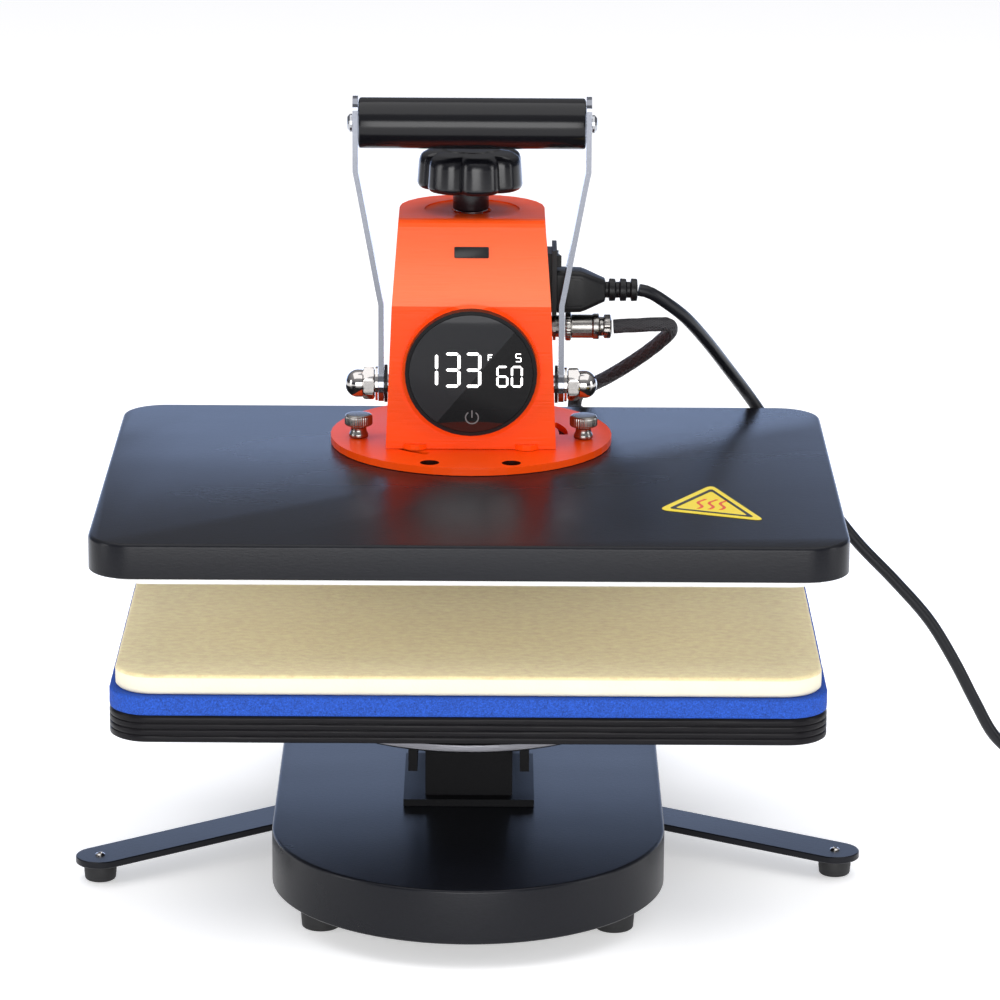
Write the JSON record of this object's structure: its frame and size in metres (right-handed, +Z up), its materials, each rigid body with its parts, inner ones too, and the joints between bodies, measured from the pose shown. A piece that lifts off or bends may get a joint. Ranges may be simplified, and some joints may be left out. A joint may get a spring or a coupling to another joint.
{
  "type": "heat press",
  "caption": "Swing-away heat press with a heated upper platen, felt and foam lower platen, orange press head with round display, pull handle, pressure knob and mains cord.",
  "frame": {"origin": "on the surface the press stands on, at the middle of its footprint without the cord", "axes": "+Z up, -Y towards the operator and the display, +X to the operator's right, where the leads leave"},
  "size_m": [0.6665, 0.4, 0.426],
  "materials": {
    "black_paint": "satin",
    "orange_paint": "satin",
    "chrome": "polished",
    "steel": "satin",
    "aluminium": "satin",
    "heat_plate_coating": "gloss",
    "rubber_foot": "matte",
    "cord_jacket": "satin",
    "black_plastic": "satin",
    "display_glass": "gloss",
    "circuit_board": "matte",
    "grip_rubber": "gloss",
    "laminated_board": "satin",
    "blue_foam": "matte",
    "felt": "matte",
    "insulation": "matte",
    "braid": "matte",
    "bronze": "satin"
  },
  "bodies": {
    "base": {"base_pan": "black_paint", "base_bottom_plate": "black_paint", "base_foot_front_left": "rubber_foot", "base_foot_front_right": "rubber_foot", "base_foot_rear_left": "rubber_foot", "base_foot_rear_right": "rubber_foot", "stabiliser_leg_left": "black_paint", "stabiliser_leg_right": "black_paint", "stabiliser_foot_left": "rubber_foot", "stabiliser_foot_right": "rubber_foot", "pedestal_post": "black_paint", "lower_platen_mount": "aluminium", "lower_board": "laminated_board", "silicone_foam_pad": "blue_foam", "felt_pad": "felt", "column": "black_paint", "column_cap": "black_plastic"},
    "swing_arm": {"swing_arm": "black_paint", "column_bush_lower": "bronze", "column_bush_upper": "bronze", "mains_cord": "cord_jacket", "mains_cord_coil": "cord_jacket", "mains_plug": "black_plastic"},
    "press_head": {"head_housing": "orange_paint", "platen_flange": "orange_paint", "thumb_screw_left": "chrome", "thumb_screw_right": "chrome", "upper_cover": "black_paint", "heat_plate": "heat_plate_coating", "insulation_blanket": "insulation", "thermal_cutout": "black_plastic", "display_bezel": "black_plastic", "display_glass": "display_glass", "display_module": "circuit_board", "control_board": "circuit_board", "mains_inlet": "black_plastic", "cord_connector": "black_plastic", "sensor_socket": "chrome", "sensor_plug": "chrome", "heater_lead": "braid", "lead_gland": "rubber_foot", "return_spring": "steel"},
    "handle": {"handle_axle": "steel", "handle_bar_left": "chrome", "handle_bar_right": "chrome", "plastic_washer_left": "black_plastic", "plastic_washer_right": "black_plastic", "steel_washer_left": "chrome", "steel_washer_right": "chrome", "acorn_nut_left": "chrome", "acorn_nut_right": "chrome", "grip_screw_left": "steel", "grip_screw_right": "steel", "handle_grip": "grip_rubber", "lift_lever_left": "steel", "lift_lever_right": "steel"},
    "pressure_screw": {"pressure_knob": "black_plastic", "pressure_spindle": "steel"},
    "rocker": {"rocker_switch": "black_plastic"}
  },
  "joints": [
    {"name": "arm_swing", "type": "hinge", "parent": "base", "child": "swing_arm", "pos_m": [0, 0.162, 0.285], "axis": [0, 0, 1], "range_deg": [0, 120]},
    {"name": "head_press", "type": "slide", "parent": "swing_arm", "child": "press_head", "axis": [0, 0, -1], "range_m": [0, 0.046], "deforming": ["return_spring", "mains_cord"]},
    {"name": "handle_pull", "type": "hinge", "parent": "press_head", "child": "handle", "pos_m": [0, 0.02, 0.264], "axis": [1, 0, 0], "range_deg": [0, 85]},
    {"name": "pressure_turn", "type": "hinge", "parent": "press_head", "child": "pressure_screw", "pos_m": [0, 0.045, 0.36], "axis": [0, 0, 1], "continuous": true},
    {"name": "rocker_tilt", "type": "hinge", "parent": "press_head", "child": "rocker", "pos_m": [0.0462, 0.045, 0.3298], "axis": [0, 0, 1], "range_deg": [-10, 0]}
  ],
  "couplings": [
    {"joint": "handle_pull", "follows": "head_press", "rad_per_m": 32.251}
  ]
}
